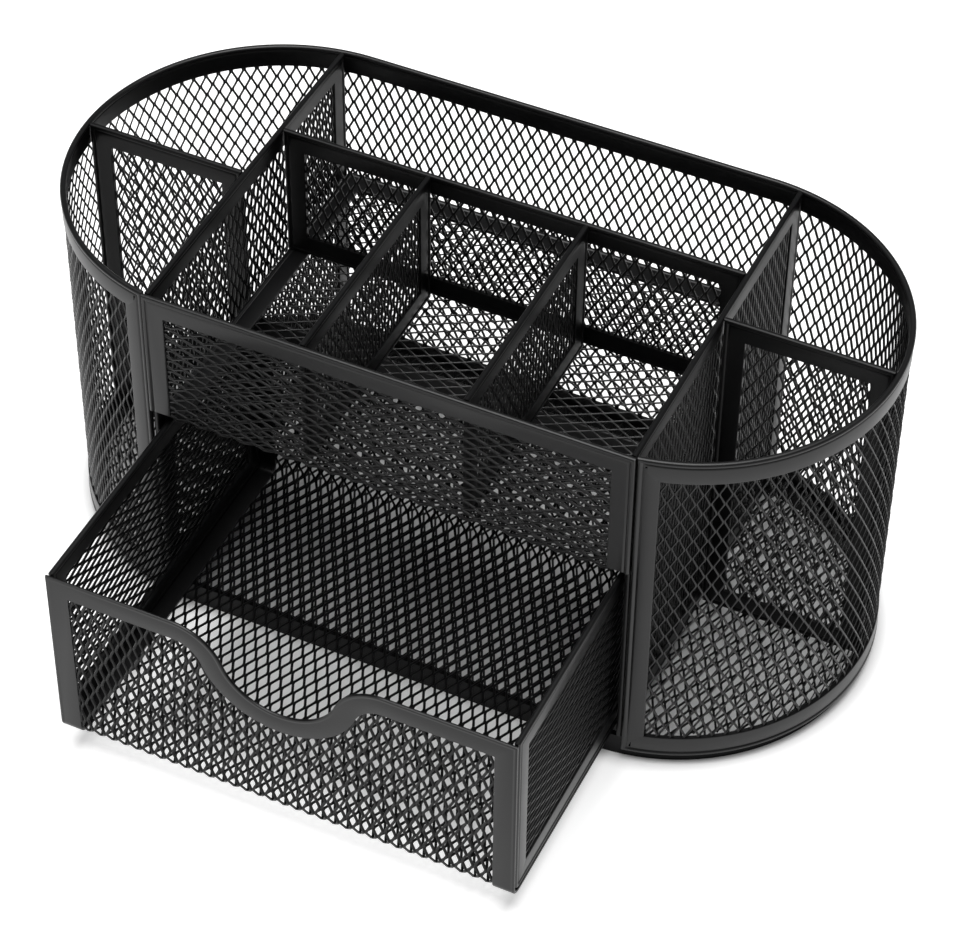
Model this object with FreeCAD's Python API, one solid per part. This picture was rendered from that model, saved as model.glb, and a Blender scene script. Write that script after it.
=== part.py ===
import FreeCAD, Part
import math
import os
from FreeCAD import Vector

# Desk organiser of expanded steel mesh with a drawer, in millimetres.
# X runs along the length, the drawer opens towards -Y, and Z is up.
# The origin is the centre of the plan, on the surface that the foot ring stands on.

# Overall sizes over the edging strips
length = 220.0
depth = 108.0
height = 105.3

# Sheet and the U-shaped strip that is folded over its edges
mesh_thick = 0.6
strip_thick = 1.6
strip_fold = 0.5
strip_bevel = 0.35
bend_inside = 2.15
weld_gap = 0.05

# Visible widths of the strips
rim_width = 6.5
band_width = 6.5
post_width = 5.6
panel_strip = 5.8
scoop_strip = 7.0

# Diamond openings of the sheets, larger than the real ones
wall_cell_width = 28.0
wall_cell_height = 44.0
tray_cell_width = 28.0
tray_cell_height = 42.0
wall_strand = 3.9
tray_strand = 2.8
smallest_opening_share = 0.3
whole_opening_share = 0.99
cut_overrun = 1.0

# Foot ring, base sheet and the lower edge of the wall
foot_height = 6.5
foot_thick = 1.5
foot_inset = 0.1
base_edge_inset = 0.2
wall_foot_gap = 3.2

# Inner walls
partition_x = 63.9
post_end_x = 64.85
rear_wall_y = 17.4
left_end_divider_y = -2.0
right_end_divider_y = 0.2
left_divider_x = -21.95
right_divider_x = 21.15
tray_top_z = 65.2
tray_wall_gap = 0.3

# Drawer, shown pulled out as photographed
drawer_half_width = 62.1
drawer_depth = 104.0
drawer_top_z = 62.2
drawer_lift = 0.3
drawer_open = 56.3
scoop_half_width = 28.0
scoop_depth = 19.5
scoop_floor_radius = 16.0

# Sizes worked out from those above
end_radius = depth / 2
end_centre_x = length / 2 - end_radius
wall_inner_radius = end_radius - strip_thick
wall_middle_radius = end_radius - strip_thick / 2
foot_radius = wall_inner_radius - foot_inset
base_radius = foot_radius - base_edge_inset
base_top_z = foot_height + mesh_thick
flange = (strip_thick - mesh_thick) / 2
front_middle_y = -depth / 2 + strip_thick / 2
front_back_y = -depth / 2 + strip_thick
partition_inner_x = partition_x - strip_thick / 2
partition_outer_x = partition_x + strip_thick / 2
partition_rear_y = math.sqrt(wall_inner_radius**2 - (post_end_x - end_centre_x) ** 2) - weld_gap
tray_half_width = partition_inner_x - weld_gap
panel_half_width = post_end_x - weld_gap
tray_bend_z = tray_top_z + bend_inside
tray_front_y = front_middle_y + mesh_thick / 2 + bend_inside
tray_mesh_reach = wall_middle_radius - mesh_thick / 2
tray_rear_y = math.sqrt(tray_mesh_reach**2 - (tray_half_width - end_centre_x) ** 2) - tray_wall_gap
drawer_bottom_z = base_top_z + drawer_lift
drawer_floor_z = drawer_bottom_z + flange
drawer_bend_z = drawer_floor_z + mesh_thick + bend_inside
drawer_front_y = -depth / 2 - drawer_open
drawer_back_y = drawer_front_y + drawer_depth
drawer_side_x = drawer_half_width - strip_thick / 2
drawer_floor_half = drawer_half_width - strip_thick - weld_gap
drawer_turn = strip_thick / 2 + mesh_thick / 2 + bend_inside

wall_cells = (wall_cell_width, wall_cell_height, wall_strand)
base_cells = (wall_cell_height, wall_cell_width, wall_strand, whole_opening_share)
tray_cells = (tray_cell_width, tray_cell_height, tray_strand)

x_axis = Vector(1, 0, 0)
y_axis = Vector(0, 1, 0)
z_axis = Vector(0, 0, 1)


def save(name, shape):
    """Writes one piece and prints its solids and volume."""
    shape.exportStep("parts/" + name + ".step")
    print(name, len(shape.Solids), round(shape.Volume, 1), shape.isValid())


def save_pair(name, pair):
    save(name + "_mesh", pair[0])
    save(name + "_frame", pair[1])


def place(shape, origin, across, up):
    """Moves a shape drawn in the XY plane so that X lies along across, Y along up."""
    out = across.cross(up)
    matrix = FreeCAD.Matrix(
        across.x, up.x, out.x, origin.x,
        across.y, up.y, out.y, origin.y,
        across.z, up.z, out.z, origin.z,
        0, 0, 0, 1,
    )
    moved = shape.copy()
    moved.Placement = FreeCAD.Placement(matrix).multiply(moved.Placement)
    return moved


def raised(shape, z):
    moved = shape.copy()
    moved.translate(Vector(0, 0, z))
    return moved


def mirrored(shape):
    """The same piece on the other side of the middle plane."""
    return shape.mirror(Vector(0, 0, 0), x_axis)


def rectangle(x0, y0, x1, y1):
    corners = [Vector(x0, y0, 0), Vector(x1, y0, 0), Vector(x1, y1, 0), Vector(x0, y1, 0)]
    return Part.Face(Part.makePolygon(corners + corners[:1]))


def disc(x, y, radius):
    return Part.Face(Part.Wire(Part.makeCircle(radius, Vector(x, y, 0))))


def relieved(face, x, y, radius):
    """Rounds the lower left corner of a face, which is at (x, y)."""
    corner = rectangle(x, y, x + radius, y + radius)
    return face.cut(corner.cut(disc(x + radius, y + radius, radius)))


def plate(face, thick):
    """A face of the XY plane made into a plate whose middle is on that plane."""
    return raised(face.extrude(Vector(0, 0, thick)), -thick / 2)


def single(shape):
    """The one solid of a boolean result, with its split faces joined."""
    return shape.removeSplitter().Solids[0]


def bevel(body, size, chosen):
    edges = [edge for edge in body.Edges if chosen(edge.BoundBox)]
    return body.makeChamfer(size, edges)


def diamond(x, y, half_width, half_height):
    corners = [
        Vector(x - half_width, y, 0),
        Vector(x, y - half_height, 0),
        Vector(x + half_width, y, 0),
        Vector(x, y + half_height, 0),
    ]
    return Part.Face(Part.makePolygon(corners + corners[:1]))


def openings(window, cell_width, cell_height, strand, least_share=smallest_opening_share):
    """The diamonds of a staggered pattern that lie inside a window, cut off at its edge.

    The cells are stretched a little, so that a whole number of them fills the window.
    Diamonds of which less than the least share is left stay closed.
    """
    box = window.BoundBox
    columns = max(1, round(box.XLength / cell_width))
    rows = max(1, round(box.YLength / cell_height))
    step_x = box.XLength / columns / 2
    step_y = box.YLength / rows / 2
    scale = 1 - strand * math.hypot(step_x, step_y) / (2 * step_x * step_y)
    faces = []
    for column in range(2 * columns + 1):
        for row in range(column % 2, 2 * rows + 1, 2):
            x = box.XMin + column * step_x
            y = box.YMin + row * step_y
            faces.append(diamond(x, y, scale * step_x, scale * step_y))
    inside = window.common(Part.makeCompound(faces))
    least = least_share * faces[0].Area
    return [face for face in inside.Faces if face.Area > least]


def perforated(sheet, window, cells):
    return sheet.cut(Part.makeCompound(openings(window, *cells)))


def edging(outline, window, seat, ends_below=False):
    """A strip folded over the edges of a sheet: the slot is where the sheet sits.

    With ends_below the strip leaves the lower edge free, so that edge keeps square.
    """
    low = outline.BoundBox.YMin + strip_bevel

    def folded(box):
        straight = min(box.XLength, box.YLength) < strip_bevel
        return straight and box.ZLength < strip_bevel and not (ends_below and box.YMax < low)

    strip = bevel(plate(outline, strip_thick), strip_bevel, folded)
    strip = strip.cut(plate(window, 2 * strip_thick))
    return single(strip.cut(plate(seat, mesh_thick)))


def framed_panel(width, high, cells, relief=0):
    """A sheet with a strip on all four edges: its mesh and its frame, in the XY plane.

    The outline runs from the origin to (width, high). The relief rounds its lower left
    corner, where the panel stands in the bend of another sheet.
    """
    outline = rectangle(0, 0, width, high)
    window = rectangle(panel_strip, panel_strip, width - panel_strip, high - panel_strip)
    seat = rectangle(strip_fold, strip_fold, width - strip_fold, high - strip_fold)
    if relief:
        outline = relieved(outline, 0, 0, relief)
        seat = relieved(seat, strip_fold, strip_fold, relief)
    mesh = single(plate(perforated(seat, window, cells), mesh_thick))
    return mesh, edging(outline, window, seat)


def along_x(pair, x, y, z):
    """Stands pieces up parallel to the back wall, with their corner at (x, y, z)."""
    return [place(piece, Vector(x, y, z), x_axis, z_axis) for piece in pair]


def along_y(pair, x, y, z):
    """Stands pieces up parallel to the partitions, with their corner at (x, y, z)."""
    return [place(piece, Vector(x, y, z), y_axis, z_axis) for piece in pair]


def stadium(radius):
    """The plan at a distance from the middle line: two half rounds and two straights."""
    x = end_centre_x
    right = Part.Arc(Vector(x, -radius, 0), Vector(x + radius, 0, 0), Vector(x, radius, 0))
    back = Part.LineSegment(Vector(x, radius, 0), Vector(-x, radius, 0))
    left = Part.Arc(Vector(-x, radius, 0), Vector(-x - radius, 0, 0), Vector(-x, -radius, 0))
    front = Part.LineSegment(Vector(-x, -radius, 0), Vector(x, -radius, 0))
    return Part.Face(Part.Wire([side.toShape() for side in (right, back, left, front)]))


def band(outer, inner, z0, z1):
    """A closed band that follows the plan."""
    ring = stadium(outer).cut(stadium(inner))
    return raised(ring.extrude(Vector(0, 0, z1 - z0)), z0)


def front_gap(half_width):
    """The space in front of the middle plane that the wall leaves open."""
    return Part.makeBox(2 * half_width, depth, 2 * height, Vector(-half_width, -depth, -height / 2))


def outer_blank():
    """The outer sheet before its openings are cut. Its edges lie inside the strips."""
    outer = wall_middle_radius + mesh_thick / 2
    inner = wall_middle_radius - mesh_thick / 2
    blank = band(outer, inner, wall_foot_gap + strip_fold, height - strip_fold)
    return blank.cut(front_gap(post_end_x + strip_fold))


def outer_strips():
    """The strips of the outer sheet: top rim, bottom band, left post and right post."""
    blank = outer_blank()
    inside_posts = front_gap(post_end_x + post_width)
    rim = band(end_radius, wall_inner_radius, height - rim_width, height)
    near = wall_inner_radius + strip_bevel

    def top_outside(box):
        return box.ZMin > height - strip_bevel and (box.YMax > near or box.YMin < -near)

    rim = bevel(rim, strip_bevel, top_outside)
    low = band(end_radius, wall_inner_radius, wall_foot_gap, wall_foot_gap + band_width)
    rim = single(rim.cut(inside_posts).cut(blank))
    low = single(low.cut(inside_posts).cut(blank))
    posts = band(end_radius, wall_inner_radius, wall_foot_gap, height).common(inside_posts)
    posts = posts.cut(front_gap(post_end_x)).cut(blank).removeSplitter().Solids
    left, right = sorted(posts, key=lambda post: post.CenterOfMass.x)
    return rim, low, left, right


def wrapped(opening, first_angle):
    """The cutter of one opening of a round end, from its face in the unrolled wall."""
    middle = opening.BoundBox.Center.x
    angle = first_angle + middle / wall_middle_radius
    out = Vector(math.cos(angle), math.sin(angle), 0)
    along = Vector(-math.sin(angle), math.cos(angle), 0)
    start = out * (wall_middle_radius - cut_overrun) + Vector(end_centre_x, 0, 0)
    centred = opening.copy()
    centred.translate(Vector(-middle, 0, 0))
    return place(centred, start, along, z_axis).extrude(out * (2 * cut_overrun))


def outer_sheet():
    """The sheet that goes round the ends and the back, with its openings.

    It is made as five solids, end to end, so that none of them bends far round a space.
    """
    first_angle = -math.acos((post_end_x + post_width - end_centre_x) / wall_middle_radius)
    run = (math.pi / 2 - first_angle) * wall_middle_radius
    low = wall_foot_gap + band_width
    high = height - rim_width
    round_end = openings(rectangle(0, low, run, high), *wall_cells)
    right = Part.makeCompound([wrapped(opening, first_angle) for opening in round_end])
    straight = rectangle(-end_centre_x, low, end_centre_x, high)
    flat = plate(Part.makeCompound(openings(straight, *wall_cells)), 2 * cut_overrun)
    back = place(flat, Vector(0, wall_middle_radius, 0), x_axis, z_axis)
    sheet = outer_blank().cut([right, mirrored(right), back])

    def zone(x0, x1, y0, y1):
        corner = Vector(x0, y0, -height / 2)
        return single(sheet.common(Part.makeBox(x1 - x0, y1 - y0, 2 * height, corner)))

    return Part.makeCompound([
        zone(-end_centre_x, end_centre_x, 0, depth),
        zone(end_centre_x, length, 0, depth),
        zone(end_centre_x, length, -depth, 0),
        zone(-length, -end_centre_x, 0, depth),
        zone(-length, -end_centre_x, -depth, 0),
    ])


def foot_and_base():
    """The ring that stands on the desk and the sheet that lies on it."""
    ring = band(foot_radius, foot_radius - foot_thick, 0, foot_height)
    sheet = perforated(stadium(base_radius), stadium(foot_radius - foot_thick), base_cells)
    mesh = single(plate(sheet, mesh_thick))
    return ring, raised(mesh, foot_height + mesh_thick / 2)


def partition(x):
    """A full-height wall between the middle and a round end."""
    pair = framed_panel(partition_rear_y - front_back_y, height - base_top_z, wall_cells)
    return along_y(pair, x, front_back_y, base_top_z)


def end_divider(y):
    """The divider of the right round end, from the partition to the wall."""
    farthest = abs(y) + strip_thick / 2
    wall_x = end_centre_x + math.sqrt(wall_inner_radius**2 - farthest**2)
    start = partition_outer_x + weld_gap
    pair = framed_panel(wall_x - weld_gap - start, height - base_top_z, wall_cells)
    return along_x(pair, start, y, base_top_z)


def bend(y, z, half_width, side):
    """A quarter turn of sheet about an axis along X at (y, z), to the front or the back."""
    size = bend_inside + mesh_thick
    start = Vector(-half_width, y, z)
    outer = Part.makeCylinder(size, 2 * half_width, start, x_axis)
    inner = Part.makeCylinder(bend_inside, 2 * half_width, start, x_axis)
    corner_y = min(y, y + side * size)
    corner = Part.makeBox(2 * half_width, size, size, Vector(-half_width, corner_y, z - size))
    return outer.cut(inner).common(corner)


def tray():
    """The sheet that makes the front panel and the tray floor, and the strips of both."""
    half = panel_half_width
    outline = rectangle(-half, tray_bend_z, half, height)
    seat = rectangle(-half + strip_fold, tray_bend_z, half - strip_fold, height - strip_fold)
    window = rectangle(-half + panel_strip, tray_bend_z, half - panel_strip, height - panel_strip)
    sheet = plate(perforated(seat, window, tray_cells), mesh_thick)
    strip = edging(outline, window, seat, ends_below=True)
    front_sheet, front_strip = along_x((sheet, strip), 0, front_middle_y, 0)

    half = tray_half_width
    far = tray_rear_y
    outline = rectangle(-half, tray_front_y, half, far)
    seat = rectangle(-half + strip_fold, tray_front_y, half - strip_fold, far - strip_fold)
    window = rectangle(-half + panel_strip, tray_front_y, half - panel_strip, far - panel_strip)
    level = tray_top_z - mesh_thick / 2
    floor_sheet = raised(plate(perforated(seat, window, tray_cells), mesh_thick), level)
    floor_strip = raised(edging(outline, window, seat, ends_below=True), level)

    turn = bend(tray_front_y, tray_bend_z, half - strip_fold, -1)
    return single(front_sheet.fuse([turn, floor_sheet])), front_strip, floor_strip


def inner_rear_wall():
    """The wall between the small compartments and the long one behind them."""
    foot = tray_top_z + flange
    pair = framed_panel(2 * tray_half_width, height - foot, tray_cells)
    return along_x(pair, -tray_half_width, rear_wall_y, foot)


def tray_divider(x):
    """A wall between two of the small compartments behind the front panel."""
    run = rear_wall_y - strip_thick / 2 - front_back_y
    pair = framed_panel(run, height - tray_top_z, tray_cells, bend_inside + mesh_thick)
    return along_y(pair, x, front_back_y, tray_top_z)


def scooped(half, inset):
    """The drawer front above its bend, drawn in by an inset along the top and the scoop.

    The scoop is a hollow arc between two round shoulders that run into it.
    """
    low = drawer_bend_z
    top = drawer_top_z - inset
    spread = (scoop_half_width**2 + scoop_depth**2) / (2 * scoop_depth)
    shoulder_radius = spread - scoop_floor_radius
    hollow = Vector(0, drawer_top_z - scoop_depth + scoop_floor_radius, 0)
    shoulder = Vector(scoop_half_width, drawer_top_z - shoulder_radius, 0)
    towards = (shoulder - hollow).normalize()
    meet = hollow + towards * (scoop_floor_radius + inset)
    halfway = (y_axis - towards).normalize()
    on_shoulder = shoulder + halfway * (shoulder_radius - inset)
    bottom = hollow - y_axis * (scoop_floor_radius + inset)

    def other(point):
        return Vector(-point.x, point.y, 0)

    start = Vector(scoop_half_width, top, 0)
    corners = [start, Vector(half, top, 0), Vector(half, low, 0)]
    path = corners + [other(point) for point in reversed(corners)]
    edges = [Part.LineSegment(a, b).toShape() for a, b in zip(path, path[1:])]
    edges.append(Part.Arc(other(start), other(on_shoulder), other(meet)).toShape())
    edges.append(Part.Arc(other(meet), bottom, meet).toShape())
    edges.append(Part.Arc(meet, on_shoulder, start).toShape())
    return Part.Face(Part.Wire(edges))


def drawer():
    """The folded sheet of the drawer with the strips of its front, back and floor."""
    full = drawer_half_width
    outline = scooped(full, 0)
    seat = scooped(full - strip_fold, strip_fold)
    window = scooped(full - panel_strip, scoop_strip)
    sheet = plate(perforated(seat, window, tray_cells), mesh_thick)
    strip = edging(outline, window, seat, ends_below=True)
    front_y = drawer_front_y + strip_thick / 2
    front_sheet, front_strip = along_x((sheet, strip), 0, front_y, 0)

    low = drawer_bend_z
    top = drawer_top_z
    outline = rectangle(-full, low, full, top)
    seat = rectangle(-full + strip_fold, low, full - strip_fold, top - strip_fold)
    window = rectangle(-full + panel_strip, low, full - panel_strip, top - panel_strip)
    sheet = plate(perforated(seat, window, tray_cells), mesh_thick)
    strip = edging(outline, window, seat, ends_below=True)
    back_y = drawer_back_y - strip_thick / 2
    back_sheet_piece, back_strip = along_x((sheet, strip), 0, back_y, 0)

    y0 = drawer_front_y + drawer_turn
    y1 = drawer_back_y - drawer_turn
    half = drawer_floor_half
    seat_half = half - strip_fold
    level = drawer_floor_z + mesh_thick / 2
    seat = rectangle(-seat_half, y0, seat_half, y1)
    window = rectangle(-half + panel_strip, y0, half - panel_strip, y1)
    floor_sheet = raised(plate(perforated(seat, window, tray_cells), mesh_thick), level)
    strips = plate(rectangle(half - panel_strip, y0, half, y1), strip_thick)
    right_strip = raised(single(strips.cut(plate(seat, mesh_thick))), level)

    front_turn = bend(y0, drawer_bend_z, seat_half, -1)
    back_turn = bend(y1, drawer_bend_z, seat_half, 1)
    folded_sheet = front_sheet.fuse([front_turn, floor_sheet, back_turn, back_sheet_piece])
    return single(folded_sheet), front_strip, back_strip, right_strip


def drawer_side(x):
    """A side wall of the drawer, between its front and its back."""
    start = drawer_front_y + strip_thick + weld_gap
    run = drawer_depth - 2 * (strip_thick + weld_gap)
    pair = framed_panel(run, drawer_top_z - drawer_bottom_z, tray_cells)
    return along_y(pair, x, start, drawer_bottom_z)


os.makedirs("parts", exist_ok=True)

rim, low_band, left_post, right_post = outer_strips()
save("top_rim", rim)
save("bottom_band", low_band)
save("left_post", left_post)
save("right_post", right_post)
save("outer_mesh", outer_sheet())

foot_ring, base_mesh = foot_and_base()
save("foot_ring", foot_ring)
save("base_mesh", base_mesh)

save_pair("left_partition", partition(-partition_x))
save_pair("right_partition", partition(partition_x))
save_pair("left_end_divider", [mirrored(piece) for piece in end_divider(left_end_divider_y)])
save_pair("right_end_divider", end_divider(right_end_divider_y))

tray_mesh, front_panel_frame, tray_floor_frame = tray()
save("tray_mesh", tray_mesh)
save("front_panel_frame", front_panel_frame)
save("tray_floor_frame", tray_floor_frame)
save_pair("rear_inner_wall", inner_rear_wall())
save_pair("left_divider", tray_divider(left_divider_x))
save_pair("right_divider", tray_divider(right_divider_x))

drawer_sheet, drawer_front_frame, drawer_back_frame, floor_strip = drawer()
save("drawer_sheet", drawer_sheet)
save("drawer_front_frame", drawer_front_frame)
save("drawer_back_frame", drawer_back_frame)
save("drawer_right_floor_strip", floor_strip)
save("drawer_left_floor_strip", mirrored(floor_strip))
save_pair("drawer_left_side", drawer_side(-drawer_side_x))
save_pair("drawer_right_side", drawer_side(drawer_side_x))
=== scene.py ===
import math

import bpy
import numpy as np
from mathutils import Matrix, Vector


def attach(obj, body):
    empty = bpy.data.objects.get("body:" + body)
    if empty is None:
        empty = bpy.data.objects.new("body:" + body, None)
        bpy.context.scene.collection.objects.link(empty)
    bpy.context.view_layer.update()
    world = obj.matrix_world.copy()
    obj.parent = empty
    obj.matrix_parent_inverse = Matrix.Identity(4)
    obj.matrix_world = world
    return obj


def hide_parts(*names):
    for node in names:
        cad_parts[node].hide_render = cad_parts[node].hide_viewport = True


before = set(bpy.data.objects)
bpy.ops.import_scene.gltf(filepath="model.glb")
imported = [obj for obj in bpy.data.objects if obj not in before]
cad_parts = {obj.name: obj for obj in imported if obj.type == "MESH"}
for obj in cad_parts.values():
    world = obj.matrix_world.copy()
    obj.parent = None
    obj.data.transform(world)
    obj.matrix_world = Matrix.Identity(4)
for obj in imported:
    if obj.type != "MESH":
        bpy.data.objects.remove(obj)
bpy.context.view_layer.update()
MM = 0.001

# Sizes, in mm, as in the CAD part
END_R = 54.0
END_X = 56.0
WALL_R = 53.2
POST_X = 64.85
HEIGHT = 105.3
# Inside of the strips of wall and front panel
WALL_INSIDE = 52.4
WALL_LOW = 3.2
PANEL_LOW = 7.1
BASE_Z = 6.8
BASE_REACH = 51.6
PARTITION_X = 63.9
PARTITION_REAR = 51.6
END_DIVIDER_X = 64.75
END_DIVIDER_Y = {"left": -2.0, "right": 0.2}
REAR_WALL_Y = 17.4
REAR_WALL_LOW = 65.7
DIVIDER_X = {"left": -21.95, "right": 21.15}
DIVIDER_CORNER = 2.75
TRAY_Z = 65.2
TRAY_MIDDLE_Z = 64.9
TRAY_REACH = 63.05
TRAY_NET_X = 61.8
TRAY_FRONT, TRAY_REAR = -50.75, 52.1
FRONT_Y = -53.2
FRONT_X = 64.8
FRONT_LOW = 67.35
BEND = 2.15
SHEET = 0.6
DRAWER_Y = -110.3
DRAWER_BACK = DRAWER_Y + 104.0
DRAWER_LOW = 7.4
DRAWER_TOP = 62.2
DRAWER_X = 62.1
DRAWER_SIDE_X = 61.3
DRAWER_MIDDLE = 0.45
DRAWER_NET_X = 61.2
DRAWER_NET_EDGE = 1.0
SIDE_INSET = 1.3
SIDE_CORNER = 1.7
SCOOP_W, SCOOP_D, SCOOP_R = 28.0, 19.5, 16.0
SCOOP_EDGE = 1.5

# The folded strips: widths, half thickness, and how far inside their edge the mesh ends
RIM_WIDTH = 6.5
POST_WIDTH = 5.6
STRIP_WIDTH = 5.8
HALF_STRIP = 0.8
NET_EDGE = 1.2
WELD_GAP = 0.05

# How finely curves are divided, and the angles above which edges of strips and nets are sharp
CORNER_STEPS = 8
SHOULDER_STEPS = 14
HOLLOW_STEPS = 28
WALL_STEP = 2.5
CREASE = 35
SMOOTH = 180

# The way round the wall, from the left post to the right one
A0 = math.asin((POST_X - END_X) / WALL_R)
ARC = (math.pi - A0) * WALL_R
ROUND = 2 * ARC + 2 * END_X


# From flat sheets to the object
def on_plane(origin, u_axis, v_axis):
    """Flat (along u, along v, outward) to a plane through the origin given."""
    o, a, b = (np.array(t, float) for t in (origin, u_axis, v_axis))
    n = np.cross(a, b)
    return lambda p: o + p[:, :1] * a + p[:, 1:2] * b + p[:, 2:3] * n


def on_wall(p):
    """Flat (way round from the left post, height, outward) to the wall's place."""
    s, z, w = p.T
    r = WALL_R + w
    a_left = A0 + s / WALL_R
    a_right = math.pi - (s - ARC - 2 * END_X) / WALL_R
    x = np.where(s < ARC, -END_X - r * np.sin(a_left), s - ARC - END_X)
    y = np.where(s < ARC, -r * np.cos(a_left), r)
    right = s > ARC + 2 * END_X
    x = np.where(right, END_X + r * np.sin(a_right), x)
    y = np.where(right, -r * np.cos(a_right), y)
    return np.stack([x, y, z], 1)


def folded(y_front, y_back, z_floor, z_top):
    """Flat (x, way along the fold from the front's top, outward) to a sheet of front, floor, back.

    y_front, y_back and z_floor are the sheet's middle lines. Returns the placing function and the
    lengths of the front's straight part, of one bend and of the floor's straight part.
    """
    r = BEND + SHEET / 2
    drop = z_top - z_floor - r
    turn = r * math.pi / 2
    run = abs(y_back - y_front) - 2 * r

    def place(p):
        u, t, w = p.T
        # Front
        y = np.full(len(p), y_front) - w
        z = z_top - t
        # First bend
        a = np.clip((t - drop) / r, 0, math.pi / 2)
        in_turn = t > drop
        y = np.where(in_turn, y_front + r - (r + w) * np.cos(a), y)
        z = np.where(in_turn, z_floor + r - (r + w) * np.sin(a), z)
        # Floor
        t2 = t - drop - turn
        on_floor = t2 > 0
        y = np.where(on_floor, y_front + r + t2, y)
        z = np.where(on_floor, z_floor - w, z)
        # Second bend
        t3 = t2 - run
        a = np.clip(t3 / r, 0, math.pi / 2)
        in_turn = t3 > 0
        y = np.where(in_turn, y_front + r + run + (r + w) * np.sin(a), y)
        z = np.where(in_turn, z_floor + r - (r + w) * np.cos(a), z)
        # Back
        t4 = t3 - turn
        up = t4 > 0
        y = np.where(up, y_front + 2 * r + run + w, y)
        z = np.where(up, z_floor + r + t4, z)
        return np.stack([u, y, z], 1)

    return place, drop, turn, run


# Objects
def volume(mesh):
    """Signed, so below zero where the faces look inward."""
    mesh.calc_loop_triangles()
    corners = np.empty(len(mesh.loop_triangles) * 3, int)
    mesh.loop_triangles.foreach_get("vertices", corners)
    places = np.empty(len(mesh.vertices) * 3)
    mesh.vertices.foreach_get("co", places)
    a, b, c = places.reshape(-1, 3)[corners].reshape(-1, 3, 3).transpose(1, 0, 2)
    return np.sum(a * np.cross(b, c)) / 6


def make(name, verts, faces, material, body, nodes, sharp):
    """A piece in millimetres that rides a body and replaces the CAD nodes.

    Edges are shaded smooth up to the angle sharp, in degrees.
    """
    mesh = bpy.data.meshes.new(name)
    mesh.from_pydata((np.asarray(verts) * MM).tolist(), [], [tuple(f) for f in faces])
    mesh.validate()
    if volume(mesh) < 0:
        mesh.flip_normals()
    obj = bpy.data.objects.new(name, mesh)
    bpy.context.scene.collection.objects.link(obj)
    mesh.materials.append(material)
    mesh.shade_smooth()
    mesh.set_sharp_from_angle(angle=math.radians(sharp))
    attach(obj, body)
    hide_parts(*nodes)


# Expanded mesh. A cell is PITCH_U across and PITCH_V along. Strands are STRAND_W wide and STRAND_T
# thick, and join over the length BOND. There their middles lie LAP of their width apart, so they
# overlap a little.
PITCH_U = 3.42
PITCH_V = 6.05
STRAND_W = 0.60
DRAWER_STRAND_W = 0.70
STRAND_T = 0.35
BOND = 0.6
LAP = 0.94
TILT = math.radians(-24)
# Where the base's cells start, as seen through the end compartments
BASE_PHASE = (-0.32, 2.61)
# Flat coordinates with u and v changed over
SWAPPED = [1, 0, 2]


def tube(path, section, first):
    """One piece of a strand through the points of path, with its vertices numbered from first."""
    n = len(path)
    block = np.empty((n, 4, 3))
    block[:, :, 0] = path[:, :1] + section[:, 0]
    block[:, :, 1] = path[:, 1:2]
    block[:, :, 2] = path[:, 2:] + section[:, 1]
    base = first + 4 * np.arange(n - 1)[:, None]
    last = first + 4 * (n - 1)
    faces = [np.hstack([base + a, base + b, base + 4 + b, base + 4 + a])
             for a, b in ((0, 1), (1, 2), (2, 3), (3, 0))]
    faces.append(np.array([[first + 3, first + 2, first + 1, first]]))
    faces.append(np.array([[last, last + 1, last + 2, last + 3]]))
    return block.reshape(-1, 3), faces


def expanded(u0, u1, v0, v1, keep, tilt, phase_u=0.0, phase_v=0.0, width=STRAND_W):
    """Expanded mesh in flat coordinates, as zigzag strands side by side, joined where they touch.

    The long way of the cells lies along v. The strands lie turned by tilt, as the slit and pulled
    sheet leaves them. keep(u, v) says where there is sheet. Returns vertices (u, v, outward) and
    faces.
    """
    c, s = math.cos(tilt), math.sin(tilt)
    w, t = width / 2, STRAND_T / 2
    section = np.array([(a * w * c - b * t * s, a * w * s + b * t * c)
                        for a, b in ((-1, -1), (1, -1), (1, 1), (-1, 1))])
    half_u, half_v = PITCH_U / 2, PITCH_V / 2
    k0, k1 = math.floor((u0 - phase_u) / half_u) - 1, math.ceil((u1 - phase_u) / half_u) + 1
    j0, j1 = math.floor((v0 - phase_v) / half_v) - 1, math.ceil((v1 - phase_v) / half_v) + 1
    js = np.arange(j0, j1 + 1)
    along = np.repeat(phase_v + js * half_v, 2) + np.tile([-BOND / 2, BOND / 2], len(js))
    verts, faces = [], []
    count = 0
    for k in range(k0, k1 + 1):
        # Strand k swings between the lines k and k + 1, with two points to each bond.
        at_left = (k + js) % 2 == 0
        line = phase_u + (k + np.where(at_left, 0, 1)) * half_u
        shift = np.where(at_left, 1, -1) * w * LAP
        path = np.stack([np.repeat(line + shift * c, 2), along, np.repeat(shift * s, 2)], 1)
        across = path[:, 0]
        inside = keep(across, along)
        inside &= (across > u0) & (across < u1) & (along > v0) & (along < v1)
        # It is cut where it leaves the sheet.
        ends = np.flatnonzero(np.diff(np.concatenate([[False], inside, [False]])))
        for start, end in ends.reshape(-1, 2):
            if end - start > 1:
                v, f = tube(path[start:end], section, count)
                verts.append(v)
                faces += f
                count += len(v)
    return np.vstack(verts), np.vstack(faces)


def everywhere(u, v):
    return np.ones(len(u), bool)


# Folded strips
# Each point is (distance from the folded edge, share of the strip's width to add, half thickness).
def both_sides(side):
    return np.array(side + [(a, b, -h) for a, b, h in reversed(side[1:])])


PROFILE = both_sides([
    (0.0, 0, 0.0), (0.04, 0, 0.3), (0.16, 0, 0.52), (0.36, 0, 0.7), (0.62, 0, 0.79),
    (0.9, 0, 0.77), (1.12, 0, 0.66), (1.27, 0, 0.5), (1.4, 0, 0.45), (1.52, 0, 0.5),
    (1.68, 0, 0.6), (2.0, 0, 0.66), (-0.3, 1, 0.62), (-0.1, 1, 0.58), (0.0, 1, 0.48)])
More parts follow.
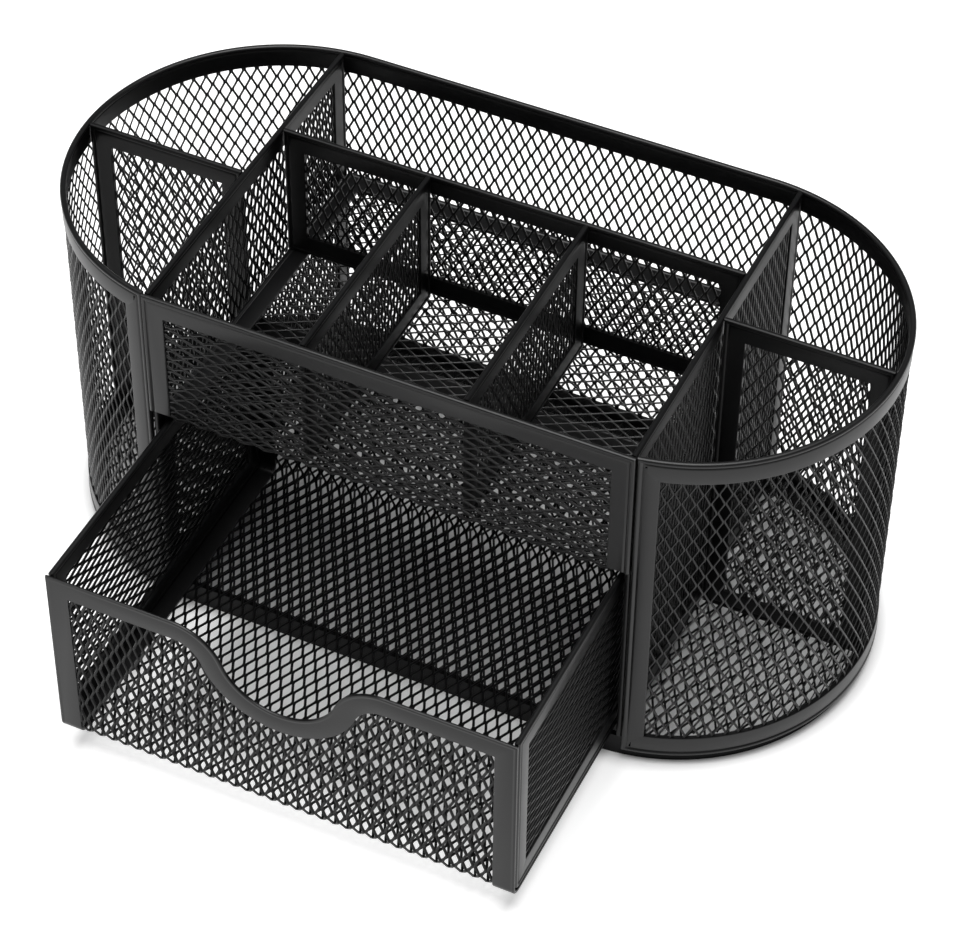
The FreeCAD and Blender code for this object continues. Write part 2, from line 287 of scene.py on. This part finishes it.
# The drawer's strip is rolled flatter.
FLAT = both_sides([
    (0.0, 0, 0.0), (0.03, 0, 0.2), (0.12, 0, 0.36), (0.3, 0, 0.43), (0.55, 0, 0.45),
    (0.75, 0, 0.42), (0.95, 0, 0.38), (1.15, 0, 0.41), (-0.2, 1, 0.41), (-0.07, 1, 0.38),
    (0.0, 1, 0.32)])


def strip(outline, widths, closed, section=PROFILE):
    """A strip along an outline in flat coordinates, with the sheet on its left-hand side.

    widths has one width for each edge of the outline. Corners are mitred.
    """
    points = np.array(outline, float)
    n = len(points)
    edges = n if closed else n - 1
    step = np.roll(points, -1, axis=0) - points
    normal = np.stack([-step[:, 1], step[:, 0]], 1)
    normal /= np.maximum(np.linalg.norm(normal, axis=1), 1e-9)[:, None]
    m = len(section)
    verts = np.zeros((n, m, 3))
    for i in range(n):
        before, after = (i - 1) % n, i
        if not closed:
            before, after = max(i - 1, 0), min(i, n - 2)
        u1 = section[:, 0] + section[:, 1] * widths[before]
        u2 = section[:, 0] + section[:, 1] * widths[after]
        a, b = normal[before], normal[after]
        det = a[0] * b[1] - a[1] * b[0]
        if abs(det) < 1e-3:
            # Nearly straight on: along the mean of both normals
            mid = a + b
            mid /= np.linalg.norm(mid)
            d = ((u1 + u2) / 2 / np.dot(mid, a))[:, None] * mid
        else:
            # A corner: where the two edges' offset lines cross
            d = np.stack([(u1 * b[1] - u2 * a[1]) / det, (a[0] * u2 - b[0] * u1) / det], 1)
        verts[i, :, :2] = points[i] + d
        verts[i, :, 2] = section[:, 2]
    faces = []
    for i in range(edges):
        j = (i + 1) % n
        for a in range(m):
            b = (a + 1) % m
            faces.append((i * m + a, i * m + b, j * m + b, j * m + a))
    if not closed:
        faces.append(tuple(range(m - 1, -1, -1)))
        faces.append(tuple((n - 1) * m + a for a in range(m)))
    return verts.reshape(-1, 3), faces


def arc(x, y, r, start, end, steps):
    """Points of an arc, angles in degrees."""
    angles = [math.radians(start + (end - start) * i / steps) for i in range(steps + 1)]
    return [(x + r * math.cos(a), y + r * math.sin(a)) for a in angles]


def divided(points, longest):
    """A closed outline with its long edges divided, so that it can go round the wall."""
    out = []
    for a, b in zip(points, points[1:] + points[:1]):
        n = max(1, math.ceil(math.dist(a, b) / longest))
        out += [(a[0] + (b[0] - a[0]) * i / n, a[1] + (b[1] - a[1]) * i / n) for i in range(n)]
    return out


# Materials
# Noise in this range becomes the full change of roughness and tone.
BLOTCH_RANGE = (0.3, 0.7)
BLOTCH_DETAIL = 3.0
ROUGH_CHANGE = 0.06
TONE_RANGE = (0.88, 1.12)
# Pointiness in this range goes from untouched to worn.
WORN_RANGE = (0.52, 0.6)
# The orange peel: its noise, and its height in metres
PEEL_SCALE = 2600.0
PEEL_DETAIL = 2.0
PEEL_HEIGHT = 0.0001


def coat(name, colour, gloss, rough, bump, edge, scale):
    """Satin powder coat: fine orange peel, slight change of gloss, edges rubbed a little lighter.

    gloss and rough are the shader's specular level and mean roughness, bump the peel's strength,
    edge how much lighter worn edges get, and scale the noise scale of the blotches.
    """
    mat = bpy.data.materials.new(name)
    mat.use_nodes = True
    tree = mat.node_tree
    shader = tree.nodes["Principled BSDF"]
    place = tree.nodes.new("ShaderNodeTexCoord")

    def noise(size, detail):
        node = tree.nodes.new("ShaderNodeTexNoise")
        node.inputs["Scale"].default_value = size
        node.inputs["Detail"].default_value = detail
        tree.links.new(place.outputs["Object"], node.inputs["Vector"])
        return node

    def ranged(source, low, high, first, last):
        node = tree.nodes.new("ShaderNodeMapRange")
        node.inputs["From Min"].default_value = first
        node.inputs["From Max"].default_value = last
        node.inputs["To Min"].default_value = low
        node.inputs["To Max"].default_value = high
        tree.links.new(source, node.inputs["Value"])
        return node

    blotch = noise(scale, BLOTCH_DETAIL)
    peel = noise(PEEL_SCALE, PEEL_DETAIL)
    rough_node = ranged(blotch.outputs["Fac"], rough - ROUGH_CHANGE, rough + ROUGH_CHANGE,
                        *BLOTCH_RANGE)
    tree.links.new(rough_node.outputs["Result"], shader.inputs["Roughness"])
    tone = ranged(blotch.outputs["Fac"], *TONE_RANGE, *BLOTCH_RANGE)
    geometry = tree.nodes.new("ShaderNodeNewGeometry")
    worn = ranged(geometry.outputs["Pointiness"], 0.0, edge, *WORN_RANGE)
    grown = tree.nodes.new("ShaderNodeMath")
    grown.operation = "ADD"
    tree.links.new(tone.outputs["Result"], grown.inputs[0])
    tree.links.new(worn.outputs["Result"], grown.inputs[1])
    tint = tree.nodes.new("ShaderNodeVectorMath")
    tint.operation = "SCALE"
    tint.inputs[0].default_value = colour
    tree.links.new(grown.outputs["Value"], tint.inputs["Scale"])
    tree.links.new(tint.outputs["Vector"], shader.inputs["Base Color"])
    relief = tree.nodes.new("ShaderNodeBump")
    relief.inputs["Strength"].default_value = bump
    relief.inputs["Distance"].default_value = PEEL_HEIGHT
    tree.links.new(peel.outputs["Fac"], relief.inputs["Height"])
    tree.links.new(relief.outputs["Normal"], shader.inputs["Normal"])
    shader.inputs["Metallic"].default_value = 0.0
    shader.inputs["Specular IOR Level"].default_value = gloss
    return mat


STRIP = coat("black_strip", (0.0030, 0.0030, 0.0032), 0.38, 0.34, 0.10, 0.5, 35.0)
# A darker, less glossy copy of the strip's coat for the panels inside: painted shade, as these
# strips stand in the shade inside the body.
STRIP_PAINTED_SHADE = coat("black_strip_painted_shade", (0.0024, 0.0024, 0.0026), 0.24, 0.38, 0.10, 0.4, 35.0)
# A darker, less glossy copy of the strip's coat for the drawer: painted shade that dims the drawer
# front's reflections.
DRAWER_STRIP_PAINTED_SHADE = coat("black_drawer_strip_painted_shade", (0.0028, 0.0028, 0.0030), 0.31, 0.34, 0.10, 0.5, 35.0)
MESH = coat("black_mesh", (0.0012, 0.0012, 0.0013), 0.36, 0.33, 0.08, 0.4, 60.0)
# A less glossy copy of the mesh's coat for the drawer: painted shade, as the drawer's mesh is lit
# less than the outer wall's.
DRAWER_MESH_PAINTED_SHADE = coat("black_drawer_mesh_painted_shade", (0.0012, 0.0012, 0.0013), 0.17, 0.36, 0.08, 0.4, 60.0)
# A darker, less glossy coat for the foot ring: painted shade, as its front lies in shadow under
# the body and behind the drawer's floor.
FOOT_PAINTED_SHADE = coat("black_foot_painted_shade", (0.0014, 0.0014, 0.0016), 0.14, 0.42, 0.10, 0.3, 35.0)


# Framed flat panels
def plane_x(x):
    return on_plane((x, 0, 0), (0, 1, 0), (0, 0, 1))


def plane_y(y):
    return on_plane((0, y, 0), (1, 0, 0), (0, 0, 1))


def plane_z(z):
    return on_plane((0, 0, z), (1, 0, 0), (0, 1, 0))


def panel(name, where, sides, body, corners=(0.0, 0.0), turned=False, tilt=TILT,
          coats=(STRIP_PAINTED_SHADE, MESH)):
    """Mesh with a strip on its four edges, in place of the nodes name_mesh and name_frame.

    sides is (u0, u1, v0, v1), corners the radii of its two lower corners, and coats those of strip
    and mesh. Turned, the mesh has its long way along u.
    """
    u0, u1, v0, v1 = sides
    c0, c1 = corners
    first = arc(u0 + c0, v0 + c0, c0, 180, 270, CORNER_STEPS) if c0 else [(u0, v0)]
    second = arc(u1 - c1, v0 + c1, c1, 270, 360, CORNER_STEPS) if c1 else [(u1, v0)]
    outline = first + second + [(u1, v1), (u0, v1)]
    v, f = strip(outline, [STRIP_WIDTH] * len(outline), True)
    make(name + "_strip", where(v), f, coats[0], body, (name + "_frame",), CREASE)
    span_u = (u0 + NET_EDGE, u1 - NET_EDGE)
    span_v = (v0 + NET_EDGE, v1 - NET_EDGE)
    middle_u, middle_v = (u0 + u1) / 2, (v0 + v1) / 2
    if turned:
        v, f = expanded(*span_v, *span_u, everywhere, tilt, middle_v, middle_u)
        v = v[:, SWAPPED]
    else:
        v, f = expanded(*span_u, *span_v, everywhere, tilt, middle_u, middle_v)
    make(name + "_net", where(v), f, coats[1], body, (name + "_mesh",), SMOOTH)


for sign, side in ((-1, "left"), (1, "right")):
    panel(side + "_partition", plane_x(sign * PARTITION_X),
          (-WALL_INSIDE, PARTITION_REAR, PANEL_LOW, HEIGHT), "body", tilt=-TILT)
for sign, side in ((-1, "left"), (1, "right")):
    y = END_DIVIDER_Y[side]
    reach = END_X + math.sqrt(WALL_INSIDE**2 - (abs(y) + HALF_STRIP) ** 2) - WELD_GAP
    a, b = sorted((sign * END_DIVIDER_X, sign * reach))
    panel(side + "_end_divider", plane_y(y), (a, b, PANEL_LOW, HEIGHT), "body")
panel("rear_inner_wall", plane_y(REAR_WALL_Y),
      (-TRAY_REACH, TRAY_REACH, REAR_WALL_LOW, HEIGHT), "body")
for side in ("left", "right"):
    panel(side + "_divider", plane_x(DIVIDER_X[side]),
          (-WALL_INSIDE, REAR_WALL_Y - HALF_STRIP, TRAY_Z, HEIGHT), "body",
          corners=(DIVIDER_CORNER, 0.0), tilt=-TILT)
for sign, side in ((-1, "left"), (1, "right")):
    panel("drawer_" + side + "_side", plane_x(sign * DRAWER_SIDE_X),
          (DRAWER_Y + SIDE_INSET, DRAWER_BACK - SIDE_INSET, DRAWER_LOW + SIDE_INSET, DRAWER_TOP),
          "drawer", corners=(SIDE_CORNER, SIDE_CORNER), turned=True,
          coats=(DRAWER_STRIP_PAINTED_SHADE, DRAWER_MESH_PAINTED_SHADE))


# Outer wall: the strip's upright edges are the two posts
outline = divided([(0.0, WALL_LOW), (ROUND, WALL_LOW), (ROUND, HEIGHT), (0.0, HEIGHT)], WALL_STEP)
widths = []
for p, q in zip(outline, outline[1:] + outline[:1]):
    upright = abs(p[0] - q[0]) < 1e-6
    widths.append(POST_WIDTH if upright else RIM_WIDTH)
v, f = strip(outline, widths, True)
make("outer_strip", on_wall(v), f, STRIP, "body",
     ("top_rim", "bottom_band", "left_post", "right_post"), CREASE)
v, f = expanded(NET_EDGE, ROUND - NET_EDGE, WALL_LOW + NET_EDGE, HEIGHT - NET_EDGE, everywhere,
                -TILT, ROUND / 2, HEIGHT / 2)
make("outer_net", on_wall(v), f, MESH, "body", ("outer_mesh",), SMOOTH)


# Base, with the CAD part's own foot ring
def in_stadium(radius):
    def test(x, y):
        return np.hypot(np.maximum(np.abs(x) - END_X, 0), y) < radius
    return test


v, f = expanded(-END_X - END_R, END_X + END_R, -END_R, END_R, in_stadium(BASE_REACH), TILT,
                *BASE_PHASE)
make("base_net", plane_z(BASE_Z)(v), f, MESH, "body", ("base_mesh",), SMOOTH)
foot_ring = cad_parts["foot_ring"].data
# The foot ring takes the darker coat: painted shade.
foot_ring.materials.clear()
foot_ring.materials.append(FOOT_PAINTED_SHADE)


# Tray: the front panel and the floor are one folded sheet
outline = [(FRONT_X, FRONT_LOW), (FRONT_X, HEIGHT), (-FRONT_X, HEIGHT), (-FRONT_X, FRONT_LOW)]
v, f = strip(outline, [STRIP_WIDTH] * 4, False)
make("front_panel_strip", plane_y(FRONT_Y)(v), f, STRIP, "body",
     ("front_panel_frame",), CREASE)
outline = [(TRAY_REACH, TRAY_FRONT), (TRAY_REACH, TRAY_REAR),
           (-TRAY_REACH, TRAY_REAR), (-TRAY_REACH, TRAY_FRONT)]
v, f = strip(outline, [STRIP_WIDTH] * 4, False)
make("tray_floor_strip", plane_z(TRAY_MIDDLE_Z)(v), f, STRIP, "body",
     ("tray_floor_frame",), CREASE)
# The fold's back lies past the floor's rear edge, so the floor stays flat.
where, drop, turn, _ = folded(FRONT_Y, PARTITION_REAR + BEND + SHEET / 2, TRAY_MIDDLE_Z, HEIGHT)
v, f = expanded(NET_EDGE, drop + turn + TRAY_REAR - TRAY_FRONT - NET_EDGE, -TRAY_NET_X, TRAY_NET_X,
                everywhere, -TILT)
make("tray_net", where(v[:, SWAPPED]), f, MESH, "body", ("tray_mesh",), SMOOTH)


# Drawer: front, floor and back are one folded sheet, with a scoop between two rounded shoulders
SPREAD = (SCOOP_W**2 + SCOOP_D**2) / (2 * SCOOP_D)
SHOULDER = SPREAD - SCOOP_R
HOLLOW_Z = DRAWER_TOP - SCOOP_D + SCOOP_R
SHOULDER_Z = DRAWER_TOP - SHOULDER
LEAN = math.degrees(math.atan2(SHOULDER_Z - HOLLOW_Z, SCOOP_W))
MEET = SCOOP_W * SCOOP_R / SPREAD

where, drop, turn, run = folded(DRAWER_Y + DRAWER_MIDDLE, DRAWER_BACK - DRAWER_MIDDLE,
                                DRAWER_LOW + DRAWER_MIDDLE, DRAWER_TOP)
whole = 2 * (drop + turn) + run
right = arc(SCOOP_W, SHOULDER_Z, SHOULDER, 90, 180 + LEAN, SHOULDER_STEPS)
left = [(-x, z) for x, z in reversed(right)]
hollow = arc(0, HOLLOW_Z, SCOOP_R, LEAN, -180 - LEAN, HOLLOW_STEPS)
top = [(DRAWER_X, DRAWER_TOP)] + right + hollow[1:-1] + left + [(-DRAWER_X, DRAWER_TOP)]
top = [(x, DRAWER_TOP - z) for x, z in reversed(top)]
turns = [start + turn * i / CORNER_STEPS
         for start in (drop, drop + turn + run) for i in range(CORNER_STEPS + 1)]
outline = top + [(DRAWER_X, t) for t in turns] + [(DRAWER_X, whole), (-DRAWER_X, whole)]
outline += [(-DRAWER_X, t) for t in reversed(turns)]
v, f = strip(outline, [STRIP_WIDTH] * len(outline), True, FLAT)
make("drawer_strip", where(v), f, DRAWER_STRIP_PAINTED_SHADE, "drawer",
     ("drawer_front_frame", "drawer_back_frame",
      "drawer_left_floor_strip", "drawer_right_floor_strip"), CREASE)


def below_scoop(u, t):
    """Keeps the scoop free. Only the front's straight part of the folded sheet is tested."""
    z = DRAWER_TOP - t
    x = np.abs(u)
    low = HOLLOW_Z - np.sqrt(np.maximum((SCOOP_R + SCOOP_EDGE) ** 2 - x**2, 0))
    high = SHOULDER_Z + np.sqrt(np.maximum((SHOULDER - SCOOP_EDGE) ** 2 - (x - SCOOP_W) ** 2, 0))
    edge = np.where(x < MEET, low, np.where(x < SCOOP_W, high, DRAWER_TOP - NET_EDGE))
    return (t > drop) | (z < edge)


v, f = expanded(-DRAWER_NET_X, DRAWER_NET_X, DRAWER_NET_EDGE, whole - DRAWER_NET_EDGE, below_scoop,
                TILT / 2, width=DRAWER_STRAND_W)
make("drawer_net", where(v), f, DRAWER_MESH_PAINTED_SHADE, "drawer", ("drawer_sheet",), SMOOTH)


# Stage
FLOOR_COLOUR = (0.85, 0.85, 0.85, 1)
FLOOR_ROUGHNESS = 0.9
FLOOR_LIFT = 0.5
# The lift starts and ends this far outside the body, in metres.
LIFT_FROM, LIFT_TO = -0.003, 0.004
# Round the drawer it starts earlier and grows more slowly, so that it reaches in under the
# drawer's edges: painted light on the floor that the drawer shades there.
DRAWER_LIFT_REACH = 16 * MM
DRAWER_LIFT_SLOPE = 0.4


def white_floor():
    """White paper, shaded by the object and lifted to pure white round it.

    Only the camera's rays and reflections see the lift.
    """
    mat = bpy.data.materials.new("white_floor")
    mat.use_nodes = True
    tree = mat.node_tree
    shader = tree.nodes["Principled BSDF"]
    shader.inputs["Base Color"].default_value = FLOOR_COLOUR
    shader.inputs["Roughness"].default_value = FLOOR_ROUGHNESS
    shader.inputs["Specular IOR Level"].default_value = 0.0

    def calc(operation, *values):
        node = tree.nodes.new("ShaderNodeMath")
        node.operation = operation
        for socket, value in zip(node.inputs, values):
            if isinstance(value, (int, float)):
                socket.default_value = value
            else:
                tree.links.new(value, socket)
        return node.outputs["Value"]

    place = tree.nodes.new("ShaderNodeTexCoord")
    apart = tree.nodes.new("ShaderNodeSeparateXYZ")
    tree.links.new(place.outputs["Object"], apart.inputs["Vector"])
    x = calc("ABSOLUTE", apart.outputs["X"])
    y = apart.outputs["Y"]
    past_end = calc("MAXIMUM", calc("SUBTRACT", x, END_X * MM), 0.0)
    squares = calc("ADD", calc("MULTIPLY", past_end, past_end), calc("MULTIPLY", y, y))
    from_line = calc("SQRT", squares)
    from_body = calc("SUBTRACT", from_line, END_R * MM)
    past_front = calc("SUBTRACT", DRAWER_Y * MM, y)
    past_side = calc("SUBTRACT", x, DRAWER_X * MM)
    from_drawer = calc("MAXIMUM", past_side, calc("MAXIMUM", past_front, y))
    # Under the drawer's edges this paints light onto the floor in the drawer's shade, fixed where
    # the drawer rests.
    from_drawer = calc("MULTIPLY", calc("ADD", from_drawer, DRAWER_LIFT_REACH), DRAWER_LIFT_SLOPE)
    outside = tree.nodes.new("ShaderNodeMapRange")
    outside.interpolation_type = "SMOOTHSTEP"
    outside.inputs["From Min"].default_value = LIFT_FROM
    outside.inputs["From Max"].default_value = LIFT_TO
    tree.links.new(calc("MINIMUM", from_body, from_drawer), outside.inputs["Value"])
    seen = tree.nodes.new("ShaderNodeLightPath")
    either = calc("MAXIMUM", seen.outputs["Is Camera Ray"], seen.outputs["Is Glossy Ray"])
    lift = calc("MULTIPLY", calc("MULTIPLY", either, outside.outputs["Result"]), FLOOR_LIFT)
    shader.inputs["Emission Color"].default_value = (1, 1, 1, 1)
    tree.links.new(lift, shader.inputs["Emission Strength"])
    return mat


scene = bpy.context.scene
FLOOR_HALF = 4
corners = [(x * FLOOR_HALF, y * FLOOR_HALF, 0) for x, y in ((-1, -1), (1, -1), (1, 1), (-1, 1))]
mesh = bpy.data.meshes.new("floor")
mesh.from_pydata(corners, [], [(0, 1, 2, 3)])
floor = bpy.data.objects.new("floor", mesh)
scene.collection.objects.link(floor)
mesh.materials.append(white_floor())

SKY_STRENGTH = 0.2
world = bpy.data.worlds.new("world")
scene.world = world
world.use_nodes = True
sky = world.node_tree.nodes["Background"]
sky.inputs["Color"].default_value = (1, 1, 1, 1)
sky.inputs["Strength"].default_value = SKY_STRENGTH

# One large softbox overhead
LIGHT_PLACE = Vector((0.0, -0.1, 1.5))
LIGHT_AIM = Vector((0.0, -0.05, 0.0))
LIGHT_SIDE = 1.2
LIGHT_POWER = 27.0
light = bpy.data.lights.new("top_light", "AREA")
light.shape = "RECTANGLE"
light.size = light.size_y = LIGHT_SIDE
light.energy = LIGHT_POWER
lamp = bpy.data.objects.new("top_light", light)
scene.collection.objects.link(lamp)
lamp.location = LIGHT_PLACE
lamp.rotation_euler = (LIGHT_AIM - LIGHT_PLACE).to_track_quat("-Z", "Y").to_euler()

# Camera, from the perspective fit of the photograph: turn as a rotation vector, place in metres
CAMERA_TURN = Vector((2.3037597, 0.5218072, -0.2050731))
CAMERA_PLACE = Vector((0.265003, -0.571634, 0.651033))
FOCAL_PIXELS = 3400.564
PHOTO_WIDTH = 960
SENSOR = 36.0
rows = Matrix.Rotation(CAMERA_TURN.length, 3, CAMERA_TURN.normalized())
axes = Matrix((rows[0], -rows[1], -rows[2])).transposed()
lens = bpy.data.cameras.new("camera")
lens.sensor_fit = "HORIZONTAL"
lens.sensor_width = SENSOR
lens.lens = FOCAL_PIXELS / PHOTO_WIDTH * SENSOR
lens.clip_end = 20.0
camera = bpy.data.objects.new("camera", lens)
scene.collection.objects.link(camera)
camera.matrix_world = Matrix.Translation(CAMERA_PLACE) @ axes.to_4x4()
scene.camera = camera
scene.view_settings.view_transform = "Standard"
